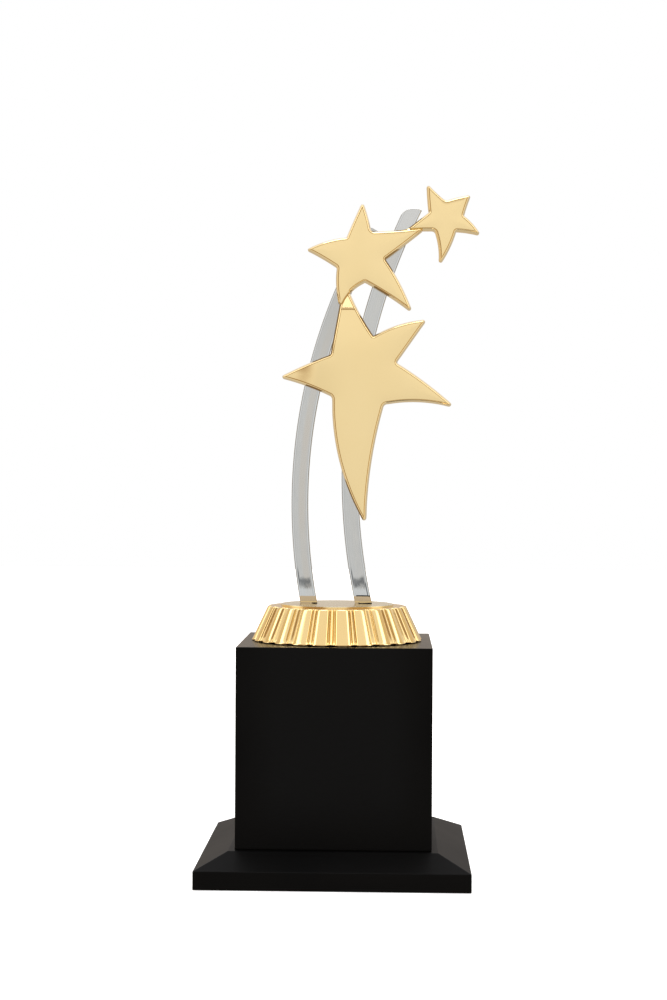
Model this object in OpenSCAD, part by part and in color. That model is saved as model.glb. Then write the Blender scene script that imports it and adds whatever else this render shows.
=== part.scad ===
// Star trophy: three cast stars on two curved ribbons, held by a fluted
// collar on a hollow square plinth. The front faces -Y and the felt let
// into the slab rests on z = 0.

/* [Slab] */
// Width of the square slab
slab_w = 115; // [108:1:120]
// Height of the slab's upright side
slab_side_h = 7.7; // [6:0.1:9]
// Full thickness of the slab
slab_t = 13.8; // [12:0.1:16]
// Width of the level land that the block stands on
slab_land_w = 88; // [86:1:92]
// Thickness of the felt let into the slab's underside
felt_t = 1; // [0.5:0.5:1.5]

/* [Block] */
// Width of the square block
block_w = 82.8; // [80:0.4:84]
// Height of the block
block_h = 85.2; // [76:0.4:96]
// Thickness of the boards that the block is made from
board_t = 9; // [6:1:12]

/* [Collar] */
// Radius of the collar at its foot
collar_foot_r = 37.6; // [36:0.2:39]
// Radius of the collar at its top
collar_top_r = 30.4; // [29:0.2:32]
// Height of the collar
collar_h = 15.2; // [14:0.2:18]
// Number of flutes round the collar
flute_count = 24; // [12:1:30]
// Radius of the raised disc on the collar
disc_r = 24.7; // [24:0.1:27]
// How far the disc stands above the collar
disc_h = 0.9; // [0.6:0.1:2]

/* [Ribbons] */
// Width of both ribbons
ribbon_w = 7.3; // [7:0.1:8]
// Thickness of both ribbons
ribbon_t = 2; // [1.5:0.1:2.5]
// Radius of the left ribbon's middle line
left_arc_r = 239.85; // [238:0.05:242]
// Radius of the right ribbon's middle line
right_arc_r = 262.95; // [261:0.05:265]

/* [Stars] */
// Thickness of the three stars
star_t = 5; // [4.5:0.5:6]

/* [Fasteners] */
// Diameter of the tie rod
rod_d = 6; // [6, 8]
// Diameter of the screws that hold the stars
star_screw_d = 3; // [2.5, 3]

/* [Hidden] */
$fn = 96;
eps = 0.01;

// Felt: how far it stands out of its pocket, its inset and its clearance
felt_proud = 0.2;
felt_inset = 3;
felt_clear = 0.3;

// Levels, counted up from the felt's underside
slab_z = felt_proud;
land_z = slab_z + slab_t;
block_top_z = land_z + block_h;
collar_top_z = block_top_z + collar_h;
disc_z = collar_top_z + disc_h;
board_top_z = block_top_z - board_t;

// Glue blocks
glue_leg = 15;
glue_gap = 10;
glue_h = block_h - board_t - glue_gap;

// Collar: wall, opening for the disc's spigot, and flutes
collar_wall = 3.2;
collar_plate_t = 2.2;
collar_open_r = 22;
flute_r = 1.7;
flute_out = 0.35;
collar_lip_h = 0.8;
flute_phase = 13;

// Disc: spigot and the boss below it
spigot_clear = 0.2;
spigot_h = 2.4;
boss_w = 39;
boss_d = 16;
boss_gap = 1.5;
boss_bottom_z = block_top_z + boss_gap;
slot_clear = 0.15;

// Tie rod, nut and washers in the slab's recess
rod_hole_clear = 0.3;
recess_r = 10;
recess_h = 9.8;
washer_r = 9;
washer_t = 1.6;
lock_r = 5.4;
lock_clear = 0.1;
lock_split_w = 1;
nut_flats = 10;
nut_h = 5;
washer_z = slab_z + recess_h - washer_t;
lock_z = washer_z - washer_t;
nut_z = lock_z - nut_h;
rod_end_gap = 1.4;
rod_top_gap = 4;
rod_top_z = collar_top_z - rod_top_gap;
rod_bore_extra = 1;

// Ribbons: front and back faces, arc centres and ends above the disc
ribbon_front_y = -ribbon_t / 2;
ribbon_back_y = ribbon_t / 2;
left_arc_x = 223.2;
left_arc_h = 44.7;
right_arc_x = 268.3;
right_arc_h = 57.1;
left_end_h = 164.8;
left_end_r = 2.5;
right_end_h = 174.6;
right_end_r = 6.5;
tang_len = 11;
set_screw_d = 4;
set_screw_h = -7;
set_socket_r = 1.15;
set_socket_depth = 2;

// Stars: centre as [x, height above the disc]
large_at = [10, 98.2];
medium_at = [11, 152.2];
small_at = [48.5, 168.2];
// Corners, clockwise from the top tip: [x, z, corner radius, side bow].
// A negative radius is a hollow corner. The bow is how far the middle of
// the side that follows stands out.
large_corners = [
    [-7.1, 41, 0.95, -0.7], [5.5, 19.9, -0.3, 1.2],
    [27.1, 25.7, 0.95, 0], [16.8, 8, -0.8, 0.6],
    [38.7, -10.4, 0.95, -1.4], [11.8, -12.4, -2, -1.5],
    [1.7, -60.5, 1, 3.5], [-14.6, -8.6, -2, -0.5],
    [-33.6, 1.4, 0.95, 0.3], [-14.5, 12.1, -1.2, 0]
];
medium_corners = [
    [-0.7, 22.3, 0.9, 0.2], [4.7, 13, -1.8, -0.2],
    [24.8, 11.8, 0.9, 0.1], [10.1, -1.1, -0.4, 0.7],
    [20, -22.4, 0.9, -0.4], [0.5, -12, -0.8, -1.1],
    [-9.9, -19.8, 1.2, 0.6], [-12.9, -5.2, -1, -0.2],
    [-23.8, 3.2, 0.8, 0.8], [-7.9, 8.9, -0.3, 0.1]
];
small_corners = [
    [-9.3, 14.5, 0.85, -0.1], [-1.2, 11.5, -2.5, 0.1],
    [8.1, 10.3, 0.85, -0.1], [6.8, 2.3, -0.4, 0.4],
    [12.1, -5.3, 0.9, -0.2], [3.2, -5.3, -0.4, 0.5],
    [-3.8, -17.3, 0.9, -0.5], [-7.9, -6.3, -1.8, -0.1],
    [-17.6, -4, 0.8, 0], [-9.6, 3.7, -0.3, 0.1]
];
star_back_y = ribbon_front_y;
star_front_y = star_back_y - star_t;
lap_y = star_back_y - star_t / 2;
// The ramp on the large star's top arm: where it starts and ends, and the
// space that its cutter spans
ramp_low_h = 129.2;
ramp_high_h = 135.6;
ramp_over_h = ramp_high_h + 12;
ramp_x = -10;
ramp_w = 30;

// Star screws: heights above the disc, on the ribbons' middle lines
left_screw_h = [101.7, 151.2];
right_screw_h = [100.2, 142.2];
star_thread_depth = 3.5;
star_thread_gap = 0.5;
star_screw_clear = 0.2;
star_head_r = 2.8;
star_head_h = 2;
cross_len = 3.2;
cross_w = 0.7;
cross_depth = 1.1;

// ---- Shapes that repeat ----

// Lays a flat X-Z shape down from y_back towards the front
module slice(y_back, t) {
    translate([0, y_back, 0]) rotate([90, 0, 0]) linear_extrude(t) children();
}

// A round bar along Y, from y_back towards the front
module bar_y(x, z, y_back, len, r, sides = 48) {
    translate([x, y_back, z]) rotate([90, 0, 0]) cylinder(r = r, h = len, $fn = sides);
}

// X of a ribbon's middle line at height h above the disc
function arc_x(cx, ch, r, h) = cx - sqrt(r * r - (h - ch) * (h - ch));

// Direction of the outward normal along the side from corner a to corner b
function side_dir(a, b) =
    let (dx = b[0] - a[0], dz = b[1] - a[1])
    atan2(dz, dx) + acos((a[2] - b[2]) / norm([dx, dz]));

// The turn from one direction to the next, between -180 and 180
function turn(from, to) =
    let (d = (to - from) % 360)
    d > 180 ? d - 360 : (d <= -180 ? d + 360 : d);

function on_corner(c, dir) = [c[0] + c[2] * cos(dir), c[1] + c[2] * sin(dir)];

// Outline of a star: an arc at each corner and a bowed side between them
function star_outline(c, arc_steps = 6, side_steps = 8) =
    let (n = len(c), dirs = [for (i = [0:n - 1]) side_dir(c[i], c[(i + 1) % n])])
    [
        for (i = [0:n - 1])
            let (
                start = dirs[(i + n - 1) % n],
                sweep = turn(start, dirs[i]),
                next = c[(i + 1) % n],
                side_a = on_corner(c[i], dirs[i]),
                side_b = on_corner(next, dirs[i]),
                out = [cos(dirs[i]), sin(dirs[i])]
            )
            each concat(
                [for (j = [0:arc_steps]) on_corner(c[i], start + sweep * j / arc_steps)],
                [for (j = [1:side_steps - 1])
                    let (s = j / side_steps)
                    side_a * (1 - s) + side_b * s + out * c[i][3] * 4 * s * (1 - s)]
            )
    ];

module star_plan(at, corners) {
    translate([at[0], disc_z + at[1]]) polygon(star_outline(corners));
}

module large_plan() { star_plan(large_at, large_corners); }
module medium_plan() { star_plan(medium_at, medium_corners); }
module small_plan() { star_plan(small_at, small_corners); }

// A mitred wall board of the block, with its outer face on -Y
module wall_board() {
    outer = block_w / 2;
    inner = outer - board_t;
    translate([0, 0, land_z])
        linear_extrude(block_h - board_t)
            polygon([[-outer, -outer], [outer, -outer], [inner, -inner], [-inner, -inner]]);
}

// Arc-shaped bar: the space between two cylinders about (cx, ch above the disc)
module arc_band(cx, ch, r, w, y_back, t) {
    difference() {
        bar_y(cx, disc_z + ch, y_back, t, r + w / 2, 360);
        bar_y(cx, disc_z + ch, y_back + 1, t + 2, r - w / 2, 360);
    }
}

// What is cut off a ribbon's upper end: all that lies past a square cut, and
// the corner outside a rounded left shoulder
module end_cutter(cx, ch, r, end_h, end_r) {
    over = 40;
    deep = ribbon_t + 2;
    shoulder_x = end_r - ribbon_w / 2;
    translate([arc_x(cx, ch, r, end_h), ribbon_back_y + 1, disc_z + end_h])
        rotate([0, asin((end_h - ch) / r), 0]) {
            translate([-over / 2, -deep, 0]) cube([over, deep, over]);
            difference() {
                translate([shoulder_x - end_r - 1, -deep, -end_r])
                    cube([end_r + 1, deep, end_r + 1]);
                bar_y(shoulder_x, -end_r, 1, deep + 2, end_r);
            }
        }
}

// One ribbon, from its tang below the disc to its upper end
module ribbon(cx, ch, r, end_h, end_r, screw_h) {
    reach = 80;
    difference() {
        intersection() {
            arc_band(cx, ch, r, ribbon_w, ribbon_back_y, ribbon_t);
            translate([-reach / 2, ribbon_front_y - 1, disc_z - tang_len])
                cube([reach, ribbon_t + 2, end_h + tang_len + ribbon_w]);
        }
        end_cutter(cx, ch, r, end_h, end_r);
        for (h = screw_h)
            bar_y(arc_x(cx, ch, r, h), disc_z + h, ribbon_back_y + 1, ribbon_t + 2,
                star_screw_d / 2 + star_screw_clear);
    }
}

// Slot for a ribbon's tang
module tang_slot(cx, ch, r) {
    reach = 40;
    slot_t = ribbon_t + 2 * slot_clear;
    intersection() {
        arc_band(cx, ch, r, ribbon_w + 2 * slot_clear, slot_t / 2, slot_t);
        translate([-reach / 2, -ribbon_t, disc_z - tang_len - slot_clear])
            cube([reach, 2 * ribbon_t, tang_len + slot_clear + 1]);
    }
}

// Threaded blind holes for the star screws, at heights h on one arc
module star_threads(cx, ch, r, heights) {
    for (h = heights)
        bar_y(arc_x(cx, ch, r, h), disc_z + h, star_back_y + 1, star_thread_depth + 1,
            star_screw_d / 2);
}

module all_star_threads() {
    star_threads(left_arc_x, left_arc_h, left_arc_r, left_screw_h);
    star_threads(right_arc_x, right_arc_h, right_arc_r, right_screw_h);
}

// Flat washer round the tie rod
module rod_washer(z, r, t, bore_r) {
    translate([0, 0, z]) difference() {
        cylinder(r = r, h = t);
        translate([0, 0, -1]) cylinder(r = bore_r, h = t + 2);
    }
}

// ---- Sub-parts ----

module felt_pad() {
    w = slab_w - 2 * (felt_inset + felt_clear);
    color([0.08, 0.09, 0.08])
        translate([-w / 2, -w / 2, 0]) cube([w, w, felt_t]);
}

module base_slab() {
    edge = slab_w / 2;
    land = slab_land_w / 2;
    side_z = slab_z + slab_side_h;
    pocket = slab_w - 2 * felt_inset;
    profile = [[-edge, slab_z], [edge, slab_z], [edge, side_z],
        [land, land_z], [-land, land_z], [-edge, side_z]];
    color([0.07, 0.06, 0.06]) difference() {
        intersection() {
            translate([0, edge, 0]) rotate([90, 0, 0]) linear_extrude(slab_w) polygon(profile);
            rotate([0, 0, 90])
                translate([0, edge, 0]) rotate([90, 0, 0]) linear_extrude(slab_w) polygon(profile);
        }
        translate([-pocket / 2, -pocket / 2, slab_z - 1])
            cube([pocket, pocket, felt_t - slab_z + 1]);
        translate([0, 0, slab_z - 1]) cylinder(r = recess_r, h = recess_h + 1);
        translate([0, 0, slab_z]) cylinder(r = rod_d / 2 + rod_hole_clear, h = slab_t + 1);
    }
}

module plinth_front_board() { color([0.05, 0.05, 0.05]) wall_board(); }
module plinth_right_board() { color([0.06, 0.06, 0.06]) rotate([0, 0, 90]) wall_board(); }
module plinth_back_board() { color([0.05, 0.05, 0.05]) rotate([0, 0, 180]) wall_board(); }
module plinth_left_board() { color([0.06, 0.06, 0.06]) rotate([0, 0, 270]) wall_board(); }

module plinth_top_board() {
    color([0.07, 0.07, 0.07]) difference() {
        translate([-block_w / 2, -block_w / 2, board_top_z]) cube([block_w, block_w, board_t]);
        translate([0, 0, board_top_z - 1])
            cylinder(r = rod_d / 2 + rod_hole_clear, h = board_t + 2);
    }
}

module corner_glue_blocks() {
    inner = block_w / 2 - board_t;
    color([0.72, 0.58, 0.4])
        for (turn_z = [0:90:270])
            rotate([0, 0, turn_z]) translate([0, 0, land_z])
                linear_extrude(glue_h)
                    polygon([[inner, inner], [inner - glue_leg, inner], [inner, inner - glue_leg]]);
}

module tie_rod() {
    low_z = slab_z + rod_end_gap;
    color([0.62, 0.62, 0.6])
        translate([0, 0, low_z]) cylinder(r = rod_d / 2, h = rod_top_z - low_z);
}

module tie_washer() {
    color([0.7, 0.7, 0.68])
        rod_washer(washer_z, washer_r, washer_t, rod_d / 2 + rod_hole_clear);
}

module lock_washer() {
    color([0.5, 0.5, 0.5]) difference() {
        rod_washer(lock_z, lock_r, washer_t, rod_d / 2 + lock_clear);
        translate([0, -lock_split_w / 2, lock_z - 1])
            cube([lock_r + 1, lock_split_w, washer_t + 2]);
    }
}

module tie_nut() {
    color([0.66, 0.66, 0.64]) translate([0, 0, nut_z]) difference() {
        cylinder(r = nut_flats / 2 / cos(30), h = nut_h, $fn = 6);
        translate([0, 0, -1]) cylinder(r = rod_d / 2, h = nut_h + 2);
    }
}

module fluted_collar() {
    rise = collar_h - collar_lip_h;
    slope = atan2(collar_foot_r - collar_top_r, rise);
    groove_l = collar_h * 1.6;
    color([0.86, 0.66, 0.28]) translate([0, 0, block_top_z]) difference() {
        rotate_extrude()
            polygon([
                [collar_foot_r - collar_wall, 0], [collar_foot_r, 0],
                [collar_foot_r, collar_lip_h], [collar_top_r, collar_h],
                [collar_open_r, collar_h], [collar_open_r, collar_h - collar_plate_t],
                [collar_top_r - collar_wall, collar_h - collar_plate_t]
            ]);
        for (i = [0:flute_count - 1])
            rotate([0, 0, -90 + flute_phase + i * 360 / flute_count])
                translate([collar_foot_r + flute_out, 0, collar_lip_h])
                    rotate([0, -slope, 0])
                        translate([0, 0, -groove_l * 0.2])
                            cylinder(r = flute_r, h = groove_l, $fn = 32);
    }
}

module centre_disc() {
    spigot_r = collar_open_r - spigot_clear;
    color([0.9, 0.72, 0.36]) difference() {
        union() {
            translate([0, 0, collar_top_z]) cylinder(r = disc_r, h = disc_h);
            translate([0, 0, collar_top_z - spigot_h]) cylinder(r = spigot_r, h = spigot_h + eps);
            translate([-boss_w / 2, -boss_d / 2, boss_bottom_z])
                cube([boss_w, boss_d, collar_top_z - boss_bottom_z]);
        }
        tang_slot(left_arc_x, left_arc_h, left_arc_r);
        tang_slot(right_arc_x, right_arc_h, right_arc_r);
        translate([0, 0, boss_bottom_z - 1])
            cylinder(r = rod_d / 2, h = rod_top_z - boss_bottom_z + 1 + rod_bore_extra);
        for (x = set_screw_x())
            bar_y(x, disc_z + set_screw_h, boss_d, boss_d, set_screw_d / 2);
    }
}

module ribbon_left() {
    color([0.76, 0.75, 0.73])
        ribbon(left_arc_x, left_arc_h, left_arc_r, left_end_h, left_end_r, left_screw_h);
}

module ribbon_right() {
    color([0.76, 0.76, 0.76])
        ribbon(right_arc_x, right_arc_h, right_arc_r, right_end_h, right_end_r, right_screw_h);
}

// X of the two set screws, one on each tang
function set_screw_x() = [
    arc_x(left_arc_x, left_arc_h, left_arc_r, set_screw_h),
    arc_x(right_arc_x, right_arc_h, right_arc_r, set_screw_h)
];

module ribbon_set_screws() {
    len = boss_d / 2 - ribbon_back_y;
    color([0.3, 0.3, 0.3])
        for (x = set_screw_x()) difference() {
            bar_y(x, disc_z + set_screw_h, boss_d / 2, len, set_screw_d / 2);
            bar_y(x, disc_z + set_screw_h, boss_d / 2 + 1, set_socket_depth + 1,
                set_socket_r, 6);
        }
}

// A star plate between the back and front planes
module star_body(at, corners) {
    slice(star_back_y, star_t) star_plan(at, corners);
}

module star_large() {
    color([0.92, 0.82, 0.6]) difference() {
        star_body(large_at, large_corners);
        // the pocket that the medium star's lower tip lies in
        slice(lap_y, star_t) medium_plan();
        // the ramp that leads down to it
        translate([ramp_x, 0, disc_z]) rotate([0, 90, 0]) linear_extrude(ramp_w)
            polygon([
                [-ramp_low_h, star_front_y], [-ramp_high_h, lap_y],
                [-ramp_over_h, lap_y], [-ramp_over_h, star_front_y - 1],
                [-ramp_low_h, star_front_y - 1]
            ]);
        all_star_threads();
    }
}

module star_medium() {
    color([0.93, 0.83, 0.6]) difference() {
        star_body(medium_at, medium_corners);
        // the back half makes room for the neighbours' tips
        slice(star_back_y + 1, star_t / 2 + 1) large_plan();
        slice(star_back_y + 1, star_t / 2 + 1) small_plan();
        all_star_threads();
    }
}

module star_small() {
    color([0.94, 0.84, 0.62]) difference() {
        star_body(small_at, small_corners);
        slice(lap_y, star_t) medium_plan();
    }
}

module star_screw(x, z) {
    union() {
        bar_y(x, z, ribbon_back_y + eps,
            ribbon_t + star_thread_depth - star_thread_gap + eps, star_screw_d / 2);
        difference() {
            bar_y(x, z, ribbon_back_y + star_head_h, star_head_h, star_head_r);
            for (a = [0, 90])
                translate([x, ribbon_back_y + star_head_h, z]) rotate([0, a, 0])
                    cube([cross_len, 2 * cross_depth, cross_w], center = true);
        }
    }
}

module star_screws() {
    color([0.6, 0.6, 0.58]) {
        for (h = left_screw_h)
            star_screw(arc_x(left_arc_x, left_arc_h, left_arc_r, h), disc_z + h);
        for (h = right_screw_h)
            star_screw(arc_x(right_arc_x, right_arc_h, right_arc_r, h), disc_z + h);
    }
}

felt_pad();
base_slab();
plinth_front_board();
plinth_back_board();
plinth_left_board();
plinth_right_board();
plinth_top_board();
corner_glue_blocks();
tie_rod();
tie_nut();
lock_washer();
tie_washer();
fluted_collar();
centre_disc();
ribbon_left();
ribbon_right();
ribbon_set_screws();
star_large();
star_medium();
star_small();
star_screws();
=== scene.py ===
"""Looks of the star trophy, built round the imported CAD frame.

The stars, the ribbons, the fluted collar, the lacquered block and the slab are
detailed meshes that stand for their plain CAD nodes. The disc, the felt, the
glue blocks and the fasteners are the CAD nodes themselves, with softened edges.
All lengths are metres; MM turns millimetres into metres.
"""

import math

import bpy
import numpy as np
from mathutils import Matrix, Vector
from mathutils.geometry import delaunay_2d_cdt


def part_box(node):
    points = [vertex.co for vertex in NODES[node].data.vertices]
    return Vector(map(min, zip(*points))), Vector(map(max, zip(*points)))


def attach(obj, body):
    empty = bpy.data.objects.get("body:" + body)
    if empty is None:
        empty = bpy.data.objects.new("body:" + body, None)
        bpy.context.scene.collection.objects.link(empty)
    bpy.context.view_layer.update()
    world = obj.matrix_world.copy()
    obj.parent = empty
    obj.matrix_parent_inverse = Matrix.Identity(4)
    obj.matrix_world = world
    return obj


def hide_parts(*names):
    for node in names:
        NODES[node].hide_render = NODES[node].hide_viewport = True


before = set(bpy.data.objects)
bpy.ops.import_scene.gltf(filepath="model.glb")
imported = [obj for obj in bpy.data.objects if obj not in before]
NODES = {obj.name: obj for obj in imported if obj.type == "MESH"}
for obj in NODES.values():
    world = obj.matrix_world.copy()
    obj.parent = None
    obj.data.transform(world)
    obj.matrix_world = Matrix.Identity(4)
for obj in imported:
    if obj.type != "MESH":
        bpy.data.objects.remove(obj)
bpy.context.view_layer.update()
MM = 0.001
TOUCHING = 0.002 * MM      # points nearer than this are one


# ---------------------------------------------------------------- camera

CAMERA_AT = (23.8 * MM, -829.9 * MM, 166.4 * MM)
CAMERA_YAW = -1.77         # degrees, like the two below
CAMERA_PITCH = -0.38
CAMERA_ROLL = 0.30
SENSOR = 36.0              # width in mm
CAMERA_LENS = 67.8         # mm, for that sensor


def add_camera():
    yaw, pitch, roll = (math.radians(a) for a in (CAMERA_YAW, CAMERA_PITCH, CAMERA_ROLL))
    ahead = Vector((math.sin(yaw) * math.cos(pitch), math.cos(yaw) * math.cos(pitch), math.sin(pitch)))
    right = Vector((math.cos(yaw), -math.sin(yaw), 0.0))
    up = right.cross(ahead)
    right_rolled = math.cos(roll) * right + math.sin(roll) * up
    up_rolled = math.cos(roll) * up - math.sin(roll) * right
    data = bpy.data.cameras.new("camera")
    data.lens = CAMERA_LENS
    data.sensor_width = SENSOR
    data.clip_start = 0.01
    data.clip_end = 50.0
    cam = bpy.data.objects.new("camera", data)
    turn = Matrix((right_rolled, up_rolled, -ahead)).transposed()
    cam.matrix_world = Matrix.Translation(CAMERA_AT) @ turn.to_4x4()
    bpy.context.scene.collection.objects.link(cam)
    bpy.context.scene.camera = cam


# ---------------------------------------------------------------- materials

def new_material(name):
    mat = bpy.data.materials.new(name)
    mat.use_nodes = True
    tree = mat.node_tree
    return mat, tree, tree.nodes["Principled BSDF"]


def add_node(tree, kind, inputs=None, **settings):
    made = tree.nodes.new(kind)
    for key, value in settings.items():
        setattr(made, key, value)
    for key, value in (inputs or {}).items():
        if isinstance(value, bpy.types.NodeSocket):
            tree.links.new(value, made.inputs[key])
        else:
            made.inputs[key].default_value = value
    return made


def object_coords(tree, scale=(1, 1, 1)):
    """Object coordinates in metres, stretched by scale."""
    at = add_node(tree, "ShaderNodeTexCoord").outputs["Object"]
    return add_node(tree, "ShaderNodeMapping", {"Vector": at, "Scale": scale}).outputs[0]


def noise(tree, coords, scale, detail=2.0, rough=0.5):
    return add_node(tree, "ShaderNodeTexNoise", {
        "Vector": coords, "Scale": scale, "Detail": detail, "Roughness": rough}).outputs[0]


def spread(tree, value, low, high, from_low=0.3, from_high=0.7):
    """Maps a value, by default a noise's, to the range low..high."""
    made = add_node(tree, "ShaderNodeMapRange", {
        "Value": value, "From Min": from_low, "From Max": from_high, "To Min": low, "To Max": high})
    return made.outputs["Result"]


def smooth_step(tree, value, low, high):
    """0 below low and 1 above high, or the other way round when low > high."""
    made = add_node(tree, "ShaderNodeMapRange", {
        "Value": value, "From Min": low, "From Max": high, "To Min": 0.0, "To Max": 1.0},
        interpolation_type="SMOOTHSTEP")
    return made.outputs["Result"]


def calc(tree, operation, *values):
    """A Math node: its operation on one to three values."""
    return add_node(tree, "ShaderNodeMath", dict(enumerate(values)), operation=operation).outputs[0]


def times(tree, first, *others):
    for value in others:
        first = calc(tree, "MULTIPLY", first, value)
    return first


def stripe(tree, value, low, high, soft):
    """1 between low and high, with soft flanks outside them."""
    return times(tree, smooth_step(tree, value, low - soft, low),
                 smooth_step(tree, value, high + soft, high))


def mix_colours(tree, factor, first, second):
    made = add_node(tree, "ShaderNodeMix", data_type="RGBA")
    for socket, value in ((0, factor), (6, first), (7, second)):
        if isinstance(value, bpy.types.NodeSocket):
            tree.links.new(value, made.inputs[socket])
        elif socket == 0:
            made.inputs[socket].default_value = value
        else:
            made.inputs[socket].default_value = (*value, 1.0)
    return made.outputs[2]


def two_tones(tree, value, light, deep):
    return mix_colours(tree, spread(tree, value, 0, 1), light, deep)


def set_surface(tree, shader, colour, rough, bumps, metallic=0.0):
    """Links a colour, a roughness and a chain of bumps to a shader. Each bump is
    (height socket, strength, depth in metres)."""
    tree.links.new(colour, shader.inputs["Base Color"])
    tree.links.new(rough, shader.inputs["Roughness"])
    shader.inputs["Metallic"].default_value = metallic
    last = None
    for height, strength, depth in bumps:
        made = add_node(tree, "ShaderNodeBump", {
            "Height": height, "Strength": strength, "Distance": depth})
        if last is not None:
            tree.links.new(last, made.inputs["Normal"])
        last = made.outputs["Normal"]
    tree.links.new(last, shader.inputs["Normal"])


def polished_metal(name, light, deep, rough_low, rough_high, wave=0.02):
    """Bright plating: two close tones, a handled surface and a faint cast waviness."""
    mat, tree, shader = new_material(name)
    coords = object_coords(tree)
    tone = noise(tree, coords, 38.0, 2.0)
    smudge_and_painted_reflection = noise(tree, coords, 160.0, 4.0, 0.6)
    grain = noise(tree, coords, 2600.0, 2.0)
    set_surface(tree, shader, two_tones(tree, tone, light, deep),
                spread(tree, smudge_and_painted_reflection, rough_low, rough_high),
                [(tone, wave, 1.2 * MM), (grain, 0.02, 0.02 * MM)], metallic=1.0)
    return mat


def plated(mat):
    """The node tree of a plating, its shader and its present colour."""
    tree = mat.node_tree
    shader = tree.nodes["Principled BSDF"]
    return tree, shader, shader.inputs["Base Color"].links[0].from_socket


HOLLOW_REACH = 1.3 * MM    # walls nearer than this add painted shade to a hollow
HOLLOW_OPEN = (0.66, 0.42)  # openness to the sky where the painted shade starts, and where it is full


def gold_with_painted_groove_shade(name, light, deep, groove):
    """Gold plating with painted shade: browner and darker in the hollows, the less sky they see."""
    mat = polished_metal(name, light, deep, 0.09, 0.15, 0.05)
    tree, shader, colour = plated(mat)
    sky = add_node(tree, "ShaderNodeAmbientOcclusion", {"Distance": HOLLOW_REACH}, samples=8)
    hollow = smooth_step(tree, sky.outputs["AO"], *HOLLOW_OPEN)
    # painted shade: the hollows are mixed towards the groove colour by their ambient occlusion
    tree.links.new(mix_colours(tree, hollow, colour, groove), shader.inputs["Base Color"])
    return mat


PALE_TOP_TO = 0.3 * MM       # depth below the face where the painted pale top ends
PALE_TOP_FULL = 0.05 * MM    # depth down to which it is complete


def gold_with_painted_pale_top(name, light, deep, rich, top_z):
    """Gold plating painted pale on the level face at top_z, as a painted reflection of the pale light
    it mirrors there, and rich below it.
    """
    mat = polished_metal(name, light, deep, 0.17, 0.25, 0.05)
    tree, shader, pale = plated(mat)
    place = add_node(tree, "ShaderNodeSeparateXYZ", {"Vector": object_coords(tree)})
    level = smooth_step(tree, place.outputs["Z"], top_z - PALE_TOP_TO, top_z - PALE_TOP_FULL)
    # painted reflection: the level top paler than the rim below it
    tree.links.new(mix_colours(tree, level, rich, pale), shader.inputs["Base Color"])
    return mat


# Marks on a ribbon, in mm, most of them painted light: reflections, highlights and
# contact shade. OFF is the distance from its middle line, ACROSS the same but
# positive to the right, and HIGH is the height above the disc. A pair is a stripe's
# two sides, or where a fade starts and where it is full.
WARM_ACROSS = 0.9          # middle of the brown tinge
WARM_HALF = (2.2, 0.6)     # and the distances from there over which it fades in
EDGE_LINE_OFF = (2.6, 2.75)
EDGE_HIGHLIGHT_OFF = (2.75, 2.95)
OUTLINE_OFF = (3.15, 3.4)
PALE_HIGH = (3.6, 6.0)
DARK_REFLECTION_FOOT_HIGH = (5.4, 9.4)
DARK_REFLECTION_TOP_HIGH = (13.0, 10.0)
DARK_REFLECTION_OFF = (2.8, 1.9)
LEFT_LINE_ACROSS = (-2.75, -2.45)
LEFT_LINE_HIGH = (10.0, 13.0)
RIGHT_LINE_ACROSS = (2.5, 2.75)
RIGHT_LINE_HIGH = (4.0, 8.5)
FOOT_HIGH = (3.5, 3.1)
FOOT_LINE_HIGH = (3.25, 3.6)
FOOT_LINE_ACROSS = (-2.7, -2.2)
FOOT_HIGHLIGHT_HIGH = (0.65, 0.9)
CONTACT_SHADE_HIGH = (0.5, 0.35)
CONTACT_SHADE_FADE = 0.4           # width over which the painted contact shade fades in across the ribbon


def ribbon_place(tree, coords, arc, foot_z):
    """Distance right of the ribbon's middle line and height above its foot, in mm."""
    part = add_node(tree, "ShaderNodeSeparateXYZ", {"Vector": coords})
    flat = add_node(tree, "ShaderNodeCombineXYZ", {"X": part.outputs["X"], "Z": part.outputs["Z"]})
    reach = add_node(tree, "ShaderNodeVectorMath", {
        0: flat.outputs[0], 1: (arc[0], 0.0, foot_z + arc[1])}, operation="DISTANCE")
    across = times(tree, calc(tree, "SUBTRACT", arc[2], reach.outputs["Value"]), 1.0 / MM)
    high = times(tree, calc(tree, "SUBTRACT", part.outputs["Z"], foot_z), 1.0 / MM)
    return across, high


def ribbon_edge_painted_light(tree, steel, off):
    """Along both edges: a faint line, a painted highlight on the rounding and a painted dark
    reflection as outline.
    """
    faint = times(tree, stripe(tree, off, *EDGE_LINE_OFF, 0.15), 0.2)
    steel = mix_colours(tree, faint, steel, (0.25, 0.26, 0.27))
    # painted highlight on the rounded edge
    bright = times(tree, smooth_step(tree, off, *EDGE_HIGHLIGHT_OFF), 0.55)
    steel = mix_colours(tree, bright, steel, (0.74, 0.75, 0.75))
    # painted dark reflection along the outermost edge
    outline = times(tree, smooth_step(tree, off, *OUTLINE_OFF), 0.6)
    return mix_colours(tree, outline, steel, (0.24, 0.25, 0.235))


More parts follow.
